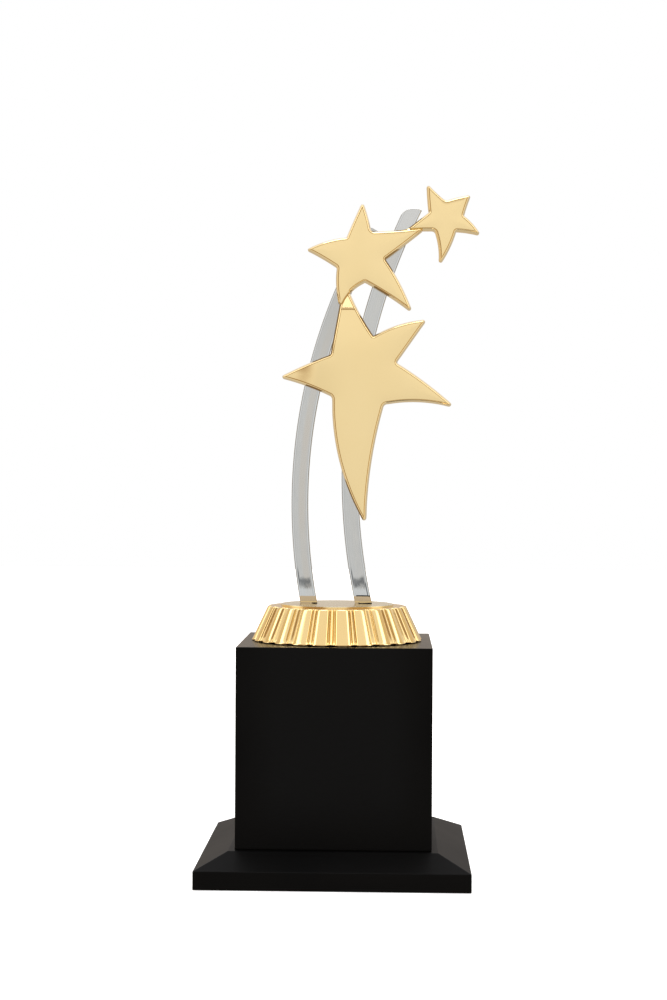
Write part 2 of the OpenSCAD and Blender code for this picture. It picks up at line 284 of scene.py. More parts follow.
def ribbon_painted_reflections(tree, steel, across, off, high, line, cloud, foot_line):
    """Above the foot, painted reflections: a pale band, a dark patch with streaks, and a dark line on
    each side.
    """
    # painted reflection: a pale band above the foot
    pale = times(tree, stripe(tree, high, *PALE_HIGH, 1.5), 0.6)
    steel = mix_colours(tree, pale, steel, (0.66, 0.69, 0.70))
    # painted reflection: the dark patch mirrored above the foot, with wavy streaked edges
    wavy = calc(tree, "ADD", high, spread(tree, cloud, -1.3, 1.3))
    wavy = calc(tree, "ADD", wavy, spread(tree, line, -1.0, 1.0))
    smudge_and_painted_reflection = times(tree, smooth_step(tree, wavy, *DARK_REFLECTION_FOOT_HIGH),
                   smooth_step(tree, wavy, *DARK_REFLECTION_TOP_HIGH),
                   smooth_step(tree, off, *DARK_REFLECTION_OFF), spread(tree, line, 0.65, 1.0))
    steel = mix_colours(tree, smudge_and_painted_reflection, steel, (0.13, 0.14, 0.145))
    # painted reflections: a thin dark line on each side
    left_line = times(tree, stripe(tree, across, *LEFT_LINE_ACROSS, 0.2),
                      stripe(tree, high, *LEFT_LINE_HIGH, 4.0), 0.75)
    right_line = times(tree, stripe(tree, across, *RIGHT_LINE_ACROSS, 0.15),
                       stripe(tree, high, *RIGHT_LINE_HIGH, 1.5), 0.75 * foot_line + 0.15)
    for mark in (left_line, right_line):
        steel = mix_colours(tree, mark, steel, (0.07, 0.08, 0.085))
    return steel


def ribbon_foot_painted_light(tree, steel, across, high, cloud, foot_line, contact):
    """The foot's painted light: a tan band for the gold disc it mirrors, a dark line on top, a painted
    highlight and painted contact shade where it meets the disc.
    """
    low = calc(tree, "ADD", high, spread(tree, cloud, -0.12, 0.12))
    # painted reflection: the gold disc mirrored as a tan band
    steel = mix_colours(tree, smooth_step(tree, low, *FOOT_HIGH), steel, (0.57, 0.44, 0.28))
    # painted dark reflection as a line on top of the tan band
    upper = times(tree, stripe(tree, low, *FOOT_LINE_HIGH, 0.2),
                  smooth_step(tree, across, *FOOT_LINE_ACROSS), foot_line)
    steel = mix_colours(tree, upper, steel, (0.02, 0.018, 0.015))
    # painted highlight just above the disc
    painted_foot_highlight = times(tree, stripe(tree, low, *FOOT_HIGHLIGHT_HIGH, 0.2), 0.5)
    steel = mix_colours(tree, painted_foot_highlight, steel, (0.95, 0.70, 0.30))
    # painted contact shade where the ribbon meets the disc
    painted_contact_shade = times(tree, smooth_step(tree, low, *CONTACT_SHADE_HIGH),
                  smooth_step(tree, across, contact, contact + CONTACT_SHADE_FADE))
    return mix_colours(tree, painted_contact_shade, steel, (0.012, 0.008, 0.006))


def ribbon_steel(name, arc, foot_z, warm, foot_line, contact, top):
    """Polished strip: painted highlights on its edges, fine lines, and painted reflections and contact
    shade at its foot.

    arc is (x, height above foot_z, radius) of its middle line, and warm is how
    brown its middle is. foot_line is how dark the painted line on top of the foot is,
    and contact is where across the strip the painted contact shade at the disc starts.
    top is the colour of the upper end and the heights between which it fades in.
    """
    mat, tree, shader = new_material(name)
    coords = object_coords(tree)
    across, high = ribbon_place(tree, coords, arc, foot_z)
    off = calc(tree, "ABSOLUTE", across)
    stretched = {"X": across, "Z": times(tree, high, 0.06)}
    along = add_node(tree, "ShaderNodeCombineXYZ", stretched).outputs[0]
    streak = noise(tree, along, 2.6, 2.0)
    line = noise(tree, along, 9.0, 2.0)
    cloud = noise(tree, coords, 260.0, 2.0)
    slow = noise(tree, coords, 30.0, 1.0)

    steel = two_tones(tree, streak, (0.605, 0.603, 0.58), (0.54, 0.55, 0.54))
    aside = calc(tree, "ABSOLUTE", calc(tree, "SUBTRACT", across, WARM_ACROSS))
    middle = times(tree, smooth_step(tree, aside, *WARM_HALF), spread(tree, slow, 0.4, 1.0), warm)
    steel = mix_colours(tree, middle, steel, (0.59, 0.55, 0.49))
    end_tone, end_from, end_to = top
    end = times(tree, smooth_step(tree, high, end_from, end_to), 0.7)
    steel = mix_colours(tree, end, steel, end_tone)
    steel = ribbon_edge_painted_light(tree, steel, off)
    steel = ribbon_painted_reflections(tree, steel, across, off, high, line, cloud, foot_line)
    steel = ribbon_foot_painted_light(tree, steel, across, high, cloud, foot_line, contact)

    set_surface(tree, shader, steel, spread(tree, line, 0.10, 0.17),
                [(line, 0.04, 0.02 * MM), (slow, 0.03, 0.8 * MM)], metallic=1.0)
    return mat


PAINTED_LIGHT_X = (40 * MM, 22 * MM)  # where the painted paler middle starts and is full, left and right
PAINTED_LIGHT_RISE = 25 * MM        # height over which that painted light comes up from the block's foot
TOP_FADE = 0.5 * MM        # depth below the top where the smoother rubbing ends
RUB_REACH = 40 * MM        # half of the width over which that rubbing changes


def satin_lacquer(block_z, polished_z):
    """Black satin lacquer with fine orange peel, painted paler in the middle above block_z
    as painted light, and rubbed smoother at polished_z."""
    mat, tree, shader = new_material("black_lacquer")
    coords = object_coords(tree)
    peel = noise(tree, coords, 900.0, 2.0)
    patch = noise(tree, coords, 22.0, 3.0)
    specks = noise(tree, coords, 4200.0, 1.0)
    place = add_node(tree, "ShaderNodeSeparateXYZ", {"Vector": coords})
    black = two_tones(tree, patch, (0.0012, 0.0012, 0.0012), (0.0022, 0.0021, 0.0020))
    # painted light: the faces paler in their middle, where more light falls
    middle = times(tree, smooth_step(tree, calc(tree, "ABSOLUTE", place.outputs["X"]), *PAINTED_LIGHT_X),
                   smooth_step(tree, place.outputs["Z"], block_z, block_z + PAINTED_LIGHT_RISE))
    on_top = spread(tree, place.outputs["Z"], 0.0, 1.0, polished_z - TOP_FADE, polished_z)
    rubbed = spread(tree, place.outputs["X"], -0.215, -0.21, -RUB_REACH, RUB_REACH)
    rough = calc(tree, "MULTIPLY_ADD", on_top, rubbed, spread(tree, patch, 0.42, 0.47))
    shader.inputs["Specular IOR Level"].default_value = 0.06
    set_surface(tree, shader, mix_colours(tree, middle, black, (0.0030, 0.0031, 0.0032)), rough,
                [(peel, 0.05, 0.06 * MM), (specks, 0.03, 0.02 * MM)])
    return mat


def felt_pile():
    mat, tree, shader = new_material("felt")
    coords = object_coords(tree)
    fibres = noise(tree, object_coords(tree, (1.0, 1.0, 3.0)), 2200.0, 5.0, 0.7)
    clumps = noise(tree, coords, 420.0, 3.0)
    shader.inputs["Sheen Weight"].default_value = 0.35
    shader.inputs["Sheen Roughness"].default_value = 0.5
    set_surface(tree, shader, two_tones(tree, fibres, (0.016, 0.018, 0.017), (0.045, 0.05, 0.047)),
                spread(tree, clumps, 0.88, 0.98),
                [(clumps, 0.5, 0.3 * MM), (fibres, 0.6, 0.12 * MM)])
    return mat


def sawn_pine():
    mat, tree, shader = new_material("raw_board")
    coords = object_coords(tree, (1.0, 1.0, 0.08))
    rings = noise(tree, coords, 260.0, 4.0)
    fuzz = noise(tree, object_coords(tree), 1800.0, 2.0)
    set_surface(tree, shader, two_tones(tree, rings, (0.56, 0.40, 0.23), (0.38, 0.24, 0.12)),
                spread(tree, fuzz, 0.65, 0.8), [(rings, 0.3, 0.2 * MM)])
    return mat


def plated_steel(name, light, deep, rough_low, rough_high):
    """Fastener finish: turned and plated, with a faint mottle."""
    mat, tree, shader = new_material(name)
    coords = object_coords(tree)
    mottle = noise(tree, coords, 900.0, 3.0)
    scratch = noise(tree, object_coords(tree, (1.0, 1.0, 0.1)), 5200.0, 2.0)
    set_surface(tree, shader, two_tones(tree, mottle, light, deep),
                spread(tree, scratch, rough_low, rough_high), [(scratch, 0.08, 0.02 * MM)],
                metallic=1.0)
    return mat


# ---------------------------------------------------------------- mesh helpers

def new_piece(name, verts, faces, mat, normals=None):
    """A mesh object in the row frame that rides on the trophy's one body."""
    mesh = bpy.data.meshes.new(name)
    mesh.from_pydata([tuple(map(float, v)) for v in verts], [], [tuple(f) for f in faces])
    mesh.validate()
    for poly in mesh.polygons:
        poly.use_smooth = True
    mesh.materials.append(mat)
    if normals is not None:
        mesh.normals_split_custom_set_from_vertices([tuple(map(float, n)) for n in normals])
    piece = bpy.data.objects.new(name, mesh)
    bpy.context.scene.collection.objects.link(piece)
    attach(piece, "root")
    return piece


def ring_strip(first, second, count):
    """Quads between two rings of count vertices that start at those indices."""
    return [(first + i, first + (i + 1) % count, second + (i + 1) % count, second + i)
            for i in range(count)]


def loft(rings):
    """Vertices and quads of a closed chain of rings, each an (n, 3) array."""
    count = len(rings[0])
    faces = []
    for k in range(len(rings)):
        faces += ring_strip(k * count, ((k + 1) % len(rings)) * count, count)
    return np.concatenate(rings), faces


def soften_cad(node, mat, width, segments, angle):
    """Keeps a CAD node's shape and gives it rounded edges and a finish."""
    piece = NODES[node]
    for holder in piece.material_slots:
        holder.material = mat
    weld = piece.modifiers.new("weld", "WELD")
    weld.merge_threshold = TOUCHING
    bevel = piece.modifiers.new("bevel", "BEVEL")
    bevel.width = width
    bevel.segments = segments
    bevel.limit_method = "ANGLE"
    bevel.angle_limit = math.radians(angle)
    bevel.harden_normals = False
    shade = piece.modifiers.new("normals", "WEIGHTED_NORMAL")
    shade.weight = 80


# ---------------------------------------------------------------- stars

BORDER_W = 1.4 * MM        # width of the border round a star's face
SHOULDER_R = 0.85 * MM     # rounding between the face and the drafted side
DRAFT = math.radians(75)   # tilt of the drafted side
CROWN_TILT = 0.05          # slope of the face just inside the border
CROWN_W = 2.2 * MM         # how quickly that slope dies away
BACK_ROUND = 0.25 * MM     # rounding of the back edge
BACK_MID = 0.3             # share of that rounding at its middle ring
RAIL_W = 1.1 * MM          # border that runs on beside the ramp
RAIL_FADE = 0.5 * MM       # width over which the ramp leaves that border
CREASE_W = 0.45 * MM       # half width of the crease at the ramp's foot
CREASE_DEPTH = 0.25 * MM
CREASE_SLOPE = 0.75
RAMP_SHEEN = 0.62          # tilt of the ramp's polished hollow towards the ceiling
LAP_EDGE = 0.6 * MM        # depth of the seam between two stars that overlap
LAP_W = 0.45 * MM          # width of the fillet along that seam
LAP_GAP = 0.02 * MM        # how far the front half of a lap is cut below mid thickness
LIP = 0.06 * MM            # half width of the step round a neighbour's tip
SHARP_TURN = math.radians(50)
OUTLINE_STEP = 0.4 * MM
FACE_STEP = 2.0 * MM
RAMP_STEP = 0.3 * MM
RAMP_ROWS = (-1.0, 0.0, 0.15, 0.85, 1.0)  # rows of points, in crease widths from its foot
RING_STEPS = (0.06, 0.15, 0.25, 0.33, 0.38, 0.43, 0.49, 0.56, 0.64, 0.73, 0.82, 0.91, 1.0,
              1.25, 1.7, 2.4, 3.4)  # rings of points, in border widths from the outline
RING_KEPT = 0.97           # a ring's point stays if it is this share of its offset away
MERGE_GAP = 0.05 * MM      # least spacing of the outline's points
SEAM_GAP = 0.09 * MM       # of the points along ramps and seams
SHEET_GAP = 0.055 * MM     # of the points on the face
BACK_GAP = 0.3 * MM        # and of those on the back


def unit(rows):
    return rows / np.linalg.norm(rows, axis=1)[:, None]


def at_depth(points, y):
    """Flat (x, z) points as 3-D points at y, which is one value or one for each."""
    return np.stack([points[:, 0], np.broadcast_to(y, len(points)), points[:, 1]], axis=1)


def plane_loop(node, front):
    """Ordered (x, z) outline of the front or back plane of a star's or ribbon's CAD node."""
    mesh = NODES[node].data
    low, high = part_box(node)
    y = low[1] if front else high[1]
    seen = {}
    points = {}
    for poly in mesh.polygons:
        corners = [mesh.vertices[v].co for v in poly.vertices]
        if any(abs(c.y - y) > TOUCHING for c in corners):
            continue
        keys = [(round(c.x / MM, 3), round(c.z / MM, 3)) for c in corners]
        for key, c in zip(keys, corners):
            points[key] = (c.x, c.z)
        for a, b in zip(keys, keys[1:] + keys[:1]):
            if a != b:
                seen.setdefault(frozenset((a, b)), []).append((a, b))
    follow = {}
    for sides in seen.values():
        if len(sides) == 1:
            follow[sides[0][0]] = sides[0][1]
    loops = []
    while follow:
        start, at = follow.popitem()
        loop = [start]
        while at != start and at in follow:
            loop.append(at)
            at = follow.pop(at)
        loops.append(np.array([points[k] for k in loop]))
    spans = [np.ptp(loop, axis=0).sum() for loop in loops]
    loop = loops[int(np.argmax(spans))]
    area = np.sum(loop[:, 0] * np.roll(loop[:, 1], -1) - np.roll(loop[:, 0], -1) * loop[:, 1])
    return loop if area > 0 else loop[::-1]


def smooth_loop(loop, step):
    """Centripetal Catmull-Rom through the loop's points, sampled about every step.
    Corners that turn by more than SHARP_TURN stay sharp."""
    count = len(loop)
    side = unit(np.roll(loop, -1, axis=0) - loop)
    sharp = (side * np.roll(side, 1, axis=0)).sum(axis=1) < math.cos(SHARP_TURN)
    out = []
    for i in range(count):
        p0, p1, p2, p3 = (loop[(i + k) % count] for k in (-1, 0, 1, 2))
        p0 = 2 * p1 - p2 if sharp[i] else p0
        p3 = 2 * p2 - p1 if sharp[(i + 1) % count] else p3
        t1 = np.sqrt(np.linalg.norm(p1 - p0)) + 1e-9
        t2 = t1 + np.sqrt(np.linalg.norm(p2 - p1)) + 1e-9
        t3 = t2 + np.sqrt(np.linalg.norm(p3 - p2)) + 1e-9
        pieces = max(1, int(math.ceil(np.linalg.norm(p2 - p1) / step)))
        for k in range(pieces):
            t = t1 + (t2 - t1) * k / pieces
            a1 = (t1 - t) / t1 * p0 + t / t1 * p1
            a2 = (t2 - t) / (t2 - t1) * p1 + (t - t1) / (t2 - t1) * p2
            a3 = (t3 - t) / (t3 - t2) * p2 + (t - t2) / (t3 - t2) * p3
            b1 = (t2 - t) / t2 * a1 + t / t2 * a2
            b2 = (t3 - t) / (t3 - t1) * a2 + (t - t1) / (t3 - t1) * a3
            out.append((t2 - t) / (t2 - t1) * b1 + (t - t1) / (t2 - t1) * b2)
    return np.array(out)


def inward_normals(loop):
    """Unit normals that point into a counter-clockwise loop."""
    before = unit(loop - np.roll(loop, 1, axis=0))
    after = unit(np.roll(loop, -1, axis=0) - loop)
    along = unit(before + after)
    return np.stack([-along[:, 1], along[:, 0]], axis=1)


def edge_distance(points, loop):
    """Distance of each point to the loop, and the unit direction away from it."""
    side = np.roll(loop, -1, axis=0) - loop
    length2 = (side ** 2).sum(axis=1)
    rel = points[:, None, :] - loop[None]
    s = np.clip((rel * side[None]).sum(axis=2) / length2[None], 0.0, 1.0)
    gap = rel - s[..., None] * side[None]
    dist = np.linalg.norm(gap, axis=2)
    best = dist.argmin(axis=1)
    rows = np.arange(len(points))
    nearest = dist[rows, best]
    away = gap[rows, best] / np.maximum(nearest, 1e-9)[:, None]
    return nearest, away


def inside(points, loop):
    """True for points inside the loop, by crossing count."""
    x, z = points[:, 0][:, None], points[:, 1][:, None]
    a, b = loop, np.roll(loop, -1, axis=0)
    crosses = (a[None, :, 1] > z) != (b[None, :, 1] > z)
    rise = b[None, :, 1] - a[None, :, 1]
    rise = np.where(rise == 0, 1e-12, rise)
    at_x = a[None, :, 0] + (z - a[None, :, 1]) / rise * (b[None, :, 0] - a[None, :, 0])
    return (crosses & (x < at_x)).sum(axis=1) % 2 == 1


def thin_out(points, spacing, taken=None):
    """Drops points closer than spacing to an earlier one."""
    cells = {}
    kept = []

    def clash(p):
        ci, cj = int(math.floor(p[0] / spacing)), int(math.floor(p[1] / spacing))
        for i in (ci - 1, ci, ci + 1):
            for j in (cj - 1, cj, cj + 1):
                for q in cells.get((i, j), ()):
                    if (p[0] - q[0]) ** 2 + (p[1] - q[1]) ** 2 < spacing * spacing:
                        return True
        cells.setdefault((ci, cj), []).append(p)
        return False

    if taken is not None:
        for p in taken:
            clash(p)
    for p in points:
        if not clash(p):
            kept.append(p)
    return np.array(kept) if kept else np.zeros((0, 2))


def filled_sheet(loop, extra):
    """Triangles that fill the loop, through the extra points inside it."""
    points = np.concatenate([loop, extra])
    count = len(loop)
    edges = [(i, (i + 1) % count) for i in range(count)]
    in_mm = [Vector((p[0] / MM, p[1] / MM)) for p in points]
    _, _, faces, orig, _, _ = delaunay_2d_cdt(in_mm, edges, [list(range(count))], 1, 1e-5)
    first = [o[0] if o else -1 for o in orig]
    return points, [tuple(first[v] for v in f) for f in faces if all(first[v] >= 0 for v in f)]


def border_depth(dist):
    """Depth behind the face and its slope: crown, round shoulder, drafted side."""
    over = np.clip(BORDER_W - dist, 0.0, None)
    arc_w = SHOULDER_R * math.sin(DRAFT)
    u = np.minimum(over, arc_w) / SHOULDER_R
    root = np.sqrt(1.0 - u * u)
    straight = np.clip(over - arc_w, 0.0, None)
    depth = SHOULDER_R * (1.0 - root) + straight * math.tan(DRAFT)
    slope = -np.where(over > arc_w, math.tan(DRAFT), u / root)
    inner = np.clip(dist - BORDER_W, 0.0, None)
    swell = np.exp(-inner / CROWN_W)
    return depth + CROWN_TILT * CROWN_W * swell, slope - CROWN_TILT * swell


def inset_rings(loop, into, offsets):
    """The loop moved inwards by each offset, without the points that come too near it."""
    rings = []
    for offset in offsets:
        ring = loop + into * offset
        gap, _ = edge_distance(ring, loop)
        rings.append(ring[(gap > offset * RING_KEPT) & inside(ring, loop)])
    return rings


def face_grid(low, high, loop):
    """Staggered points all over the face, clear of the border."""
    grid = []
    nx = int((high[0] - low[0]) / FACE_STEP) + 2
    nz = int((high[2] - low[2]) / FACE_STEP) + 2
    for i in range(nx):
        for j in range(nz):
            grid.append((low[0] + (i + 0.5 * (j % 2)) * FACE_STEP, low[2] + j * FACE_STEP * 0.87))
    grid = np.array(grid)
    gap, _ = edge_distance(grid, loop)
    return grid[inside(grid, loop) & (gap > BORDER_W * 1.3)]


def seam_points(outline, offsets):
    """Points along a neighbour's outline, so far inside it."""
    into = inward_normals(outline)
    return [tuple(p) for offset in offsets for p in outline + into * offset]


def fit_inside(points, loop, edge_gap, taken):
    """The points inside the loop that keep clear of it and of those already taken."""
    if not len(points):
        return np.zeros((0, 2))
    points = np.array(points)
    gap, _ = edge_distance(points, loop)
    return thin_out(points[inside(points, loop) & (gap > edge_gap)], SEAM_GAP, taken)


def ramp_relief(ramp, height, dist, depth, gx, gz):
    """Adds the polished hollow on the top arm, with a crease at its foot."""
    start_z, end_z, ramp_depth = ramp
    pitch = ramp_depth / (end_z - start_z)
    over_start = height - start_z
    rail = np.clip((dist - RAIL_W) / RAIL_FADE, 0.0, 1.0)
    fall = np.clip(over_start * pitch, 0.0, ramp_depth) * rail
    crease = np.clip(1.0 - np.abs(over_start) / CREASE_W, 0.0, 1.0) * rail
    depth = np.maximum(depth, fall + crease * CREASE_DEPTH)
    on_ramp = (rail > 0.5) & (over_start > 0) & (depth > 0)
    gx = np.where(on_ramp, 0.0, gx)
    gz = np.where(on_ramp, np.where(over_start < CREASE_W, -CREASE_SLOPE, RAMP_SHEEN), gz)
    lead_in = (rail > 0.5) & (over_start <= 0) & (over_start > -CREASE_W)
    return depth, gx, np.where(lead_in, 0.3 * CREASE_SLOPE, gz)


def face_relief(points, loop, into, ramp, over, dents):
    """Depth behind the front plane at each point, and the slopes right and up that its
    normal shows. The first points are the loop's own."""
    dist, away = edge_distance(points, loop)
    dist[:len(loop)] = 0.0
    away[:len(loop)] = into
    depth, slope = border_depth(dist)
    gx, gz = slope * away[:, 0], slope * away[:, 1]
    for x, z, radius, right, up in dents:
        near = np.exp(-((points[:, 0] - x) ** 2 + (points[:, 1] - z) ** 2) / radius ** 2)
        gx, gz = gx + near * right, gz + near * up
    if ramp:
        depth, gx, gz = ramp_relief(ramp, points[:, 1], dist, depth, gx, gz)
    for outline, edge_kept in over:
        lapped = inside(points, outline)
        gap, _ = edge_distance(points, outline)
        depth = np.minimum(depth, LAP_EDGE + np.where(lapped, 0.0, gap))
        gx, gz = (np.where(lapped, g * edge_kept, g) for g in (gx, gz))
    return depth, gx, gz


def star_front(low, high, loop, into, grid, notch, ramp, over, dents):
    """Vertices, faces and normals of the face with its border and drafted side."""
    neighbour, side = notch
    special = []
    if ramp:
        for row in RAMP_ROWS:
            z = ramp[0] + row * CREASE_W
            special += [(x, z) for x in np.arange(low[0], high[0], RAMP_STEP)]
    if side == "front":
        special += seam_points(neighbour, [LIP, -LIP, -LAP_W])
    special = fit_inside(special, loop, MERGE_GAP, loop)
    rings = inset_rings(loop, into, [step * BORDER_W for step in RING_STEPS])
    inner = thin_out(np.concatenate(rings + [grid]), SHEET_GAP, np.concatenate([loop, special]))
    points, faces = filled_sheet(loop, np.concatenate([special, inner]))
    depth, gx, gz = face_relief(points, loop, into, ramp, over, dents)
    thick = high[1] - low[1]
    if side == "front":
        gap, _ = edge_distance(points, neighbour)
        fillet = LAP_EDGE * np.clip(1.0 - gap / LAP_W, 0.0, 1.0)
        cut = inside(points, neighbour)
        depth = np.maximum(depth, np.where(cut, thick / 2 + LAP_GAP, fillet))
    depth = np.minimum(depth, thick - 2 * BACK_ROUND)
    normals = unit(np.stack([gx, -np.ones(len(gx)), gz], axis=1))
    return at_depth(points, low[1] + depth), faces, normals


def star_back(low, high, loop, into, grid, notch):
    """Vertices and faces of the flat back, inside its rounded edge."""
    neighbour, side = notch
    back_loop = loop + into * BACK_ROUND
    special = seam_points(neighbour, [LIP, -LIP]) if side == "back" else []
    special = fit_inside(special, loop, BACK_ROUND + MERGE_GAP, back_loop)
    inner = thin_out(grid, BACK_GAP, np.concatenate([back_loop, special]))
    points, faces = filled_sheet(back_loop, np.concatenate([special, inner]))
    y = np.full(len(points), high[1])
    if side == "back":
        cut = inside(points, neighbour)
        cut[:len(loop)] = False
        y[cut] -= (high[1] - low[1]) / 2
    return at_depth(points, y), faces


def add_star(node, mat, full_at_front, notch, ramp=None, over=(), dents=()):
    """Cast star: polished face, rounded border, upright wall and flat back.

    notch is (outline, side) of a neighbour's tip that this star makes room
    for, with side "front" or "back". ramp is (z where it starts, z where it
    ends, depth there) on the top arm. over is a list of (outline of a
    neighbour that a tip lies on, share of the border's slope kept there).
    dents is a list of (x, z, radius, tilt right, tilt up).
    """
    low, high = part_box(node)
    loop = smooth_loop(plane_loop(node, full_at_front), OUTLINE_STEP)
    loop = thin_out(loop, MERGE_GAP)
    into = inward_normals(loop)
    grid = face_grid(low, high, loop)
    front, faces, facing = star_front(low, high, loop, into, grid, notch, ramp, over, dents)
    back, back_faces = star_back(low, high, loop, into, grid, notch)

    # three strips of quads join them: the wall and two round the back edge
    wall = at_depth(loop, high[1] - BACK_ROUND)
    mid = at_depth(loop + into * BACK_ROUND * BACK_MID, high[1] - BACK_ROUND * BACK_MID)
    outward = at_depth(-into, 0.0)
    backward = np.array((0.0, 1.0, 0.0))
    base, count = len(front), len(loop)
    for k in range(3):
        faces += ring_strip(base + (k + 1) * count, base + k * count, count)
    faces += [tuple(base + 3 * count + v for v in reversed(f)) for f in back_faces]
    piece = new_piece(
        node + "_cast", np.concatenate([front, front[:count], wall, mid, back]), faces, mat,
        np.concatenate([facing, outward, outward, unit(outward + backward),
                        np.tile(backward, (len(back), 1))]))
    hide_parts(node)


# ---------------------------------------------------------------- ribbons

RIBBON_ROUND = 0.3 * MM    # rounding of a ribbon's long edges
RIBBON_STEPS = (0.04, 0.12, 0.25, 0.42, 0.65, 1.0, 1.6)  # rings of points, in roundings
RIBBON_STEP = 0.8 * MM     # spacing of the outline's points
RIBBON_GAP = 0.015 * MM    # least spacing of the others


def add_ribbon(node, mat):
    """Steel strip with rounded edges, front and back alike."""
    low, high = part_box(node)
    loop = thin_out(smooth_loop(plane_loop(node, True), RIBBON_STEP), MERGE_GAP)
    into = inward_normals(loop)
    rings = inset_rings(loop, into, [step * RIBBON_ROUND for step in RIBBON_STEPS])
    points, sheet = filled_sheet(loop, thin_out(np.concatenate(rings), RIBBON_GAP, loop))
    dist, away = edge_distance(points, loop)
    count = len(loop)
    dist[:count] = 0.0
    away[:count] = into
    u = np.clip(1.0 - dist / RIBBON_ROUND, 0.0, 1.0)
    root = np.sqrt(1.0 - u * u)
    depth = RIBBON_ROUND * (1.0 - root)
    facing = at_depth(-u[:, None] * away, -root)
    total = len(points)
    faces = sheet + ring_strip(total, 0, count)
    faces += [tuple(total + v for v in reversed(f)) for f in sheet]
    piece = new_piece(
        node + "_strip",
        np.concatenate([at_depth(points, low[1] + depth), at_depth(points, high[1] - depth)]),
        faces, mat, np.concatenate([facing, facing * (1, -1, 1)]))
    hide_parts(node)


# ---------------------------------------------------------------- collar

COLLAR_TAPER = 7.2 * MM    # how much smaller the top's radius is than the foot's
COLLAR_OPEN_R = 22.0 * MM  # opening in the top plate
COLLAR_WALL = 3.2 * MM
COLLAR_PLATE = 2.2 * MM    # thickness of the top plate
FLUTES = 24
FLUTE_PHASE = 13.0         # degrees from the front to a groove
FLUTE_SAMPLES = 40
FLUTE_SLIDE = 0.035        # how far a groove strays from its even place, in pitches
FLUTE_WIDEN = (0.72, 1.2)  # how much narrower or wider than the rest a groove is
GROOVE_SHARE = 0.44        # share of one flute's pitch that is hollow
GROOVE_DEPTH = 1.6 * MM
RIB_DEPTHS = (0.15 * MM, 0.8 * MM)  # how far the ribs in the grooves lie below the crests
RIB_SHARE = 0.66           # share of a groove's half width where its rib ends
FLANK_SHARE = 0.74         # and where its flank starts to rise
CREST_BULGE = 0.55 * MM    # how round the crests are
GROOVE_LIFT = 0.45 * MM    # how far the foot is lifted off the block at a groove
LIFT_SHARE = 0.32          # half width of that lift, in pitches
WALL_FOOT = 2.5 * MM       # plain wall between the rounded foot and the rounded rim
WALL_RIM = 0.7 * MM
WALL_RINGS = 7


def flute_profile(t, rib_depth):
    """Wall offset against t, the distance from a groove's middle in pitches."""
    half = GROOVE_SHARE / 2
    if t < half:
        s = t / half
        rib = 0.5 + 0.5 * math.cos(math.pi * min(1.0, s / RIB_SHARE))
        side = max(0.0, (s - FLANK_SHARE) / (1.0 - FLANK_SHARE))
        return -GROOVE_DEPTH + (GROOVE_DEPTH - rib_depth) * rib + (
            GROOVE_DEPTH - CREST_BULGE) * side ** 0.8
    s = (t - half) / (0.5 - half)
    return -CREST_BULGE * (1.0 - s) ** 2


def collar_stations(foot_r, height):
    """Rings from inside the foot, up the wall, over the rim and under the top plate:
    (height, radius, share of the flutes' relief, share of the foot's lift)."""
    top_r = foot_r - COLLAR_TAPER
    slope = -COLLAR_TAPER / height
    stations = [(0.0, foot_r - COLLAR_WALL, 0.0, 1.0), (0.0, foot_r - 0.5 * MM, 0.75, 1.0),
                (0.15 * MM, foot_r - 0.2 * MM, 0.75, 1.0),
                (0.5 * MM, foot_r - 0.1 * MM, 0.78, 0.8)]
    for h, share, lift in ((1.0 * MM, 0.85, 0.4), (1.6 * MM, 0.94, 0.1), (2.2 * MM, 1.0, 0.0)):
        stations.append((h, foot_r + slope * h, share, lift))
    for k in range(1, WALL_RINGS + 1):
        h = WALL_FOOT + (height - WALL_FOOT - WALL_RIM) * k / WALL_RINGS
        stations.append((h, foot_r + slope * h, 1.0, 0.0))
    rim = [(0.4 * MM, top_r + 0.15 * MM, 0.98), (0.2 * MM, top_r + 0.02 * MM, 0.95),
           (0.06 * MM, top_r - 0.18 * MM, 0.9), (0.0, top_r - 0.5 * MM, 0.85),
           (0.0, top_r - 1.8 * MM, 0.0), (0.0, COLLAR_OPEN_R + 0.3 * MM, 0.0),
           (0.0, COLLAR_OPEN_R, 0.0), (COLLAR_PLATE, COLLAR_OPEN_R, 0.0),
           (COLLAR_PLATE, top_r - COLLAR_WALL, 0.0)]
    return stations + [(height - down, r, share, 0.0) for down, r, share in rim]


def add_collar(mat):
    low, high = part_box("fluted_collar")
    rng = np.random.default_rng(7)
    slide = rng.uniform(-FLUTE_SLIDE, FLUTE_SLIDE, FLUTES)
    widen = rng.uniform(*FLUTE_WIDEN, FLUTES)
    ribs = rng.uniform(*RIB_DEPTHS, FLUTES)
    count = FLUTES * FLUTE_SAMPLES
    rings = []
    for h, r, share, lift in collar_stations((high[0] - low[0]) / 2, high[2] - low[2]):
        ring = []
        for i in range(count):
            turn = i / FLUTE_SAMPLES
            near = round(turn) % FLUTES
            t = min(0.5, abs(turn - round(turn)) / widen[near])
            a = math.radians(-90.0 + FLUTE_PHASE) + 2 * math.pi * (i / count)
            a += slide[near] * 2 * math.pi / FLUTES * (1.0 - 2.0 * t)
            rr = r + share * flute_profile(t, ribs[near])
            arch = 0.5 + 0.5 * math.cos(math.pi * min(1.0, t / LIFT_SHARE))
            ring.append((rr * math.cos(a), rr * math.sin(a), low[2] + h + lift * GROOVE_LIFT * arch))
        rings.append(np.array(ring))
    verts, faces = loft(rings)
    piece = new_piece("collar_fluted_shell", verts, faces, mat)
    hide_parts("fluted_collar")


# ---------------------------------------------------------------- plinth

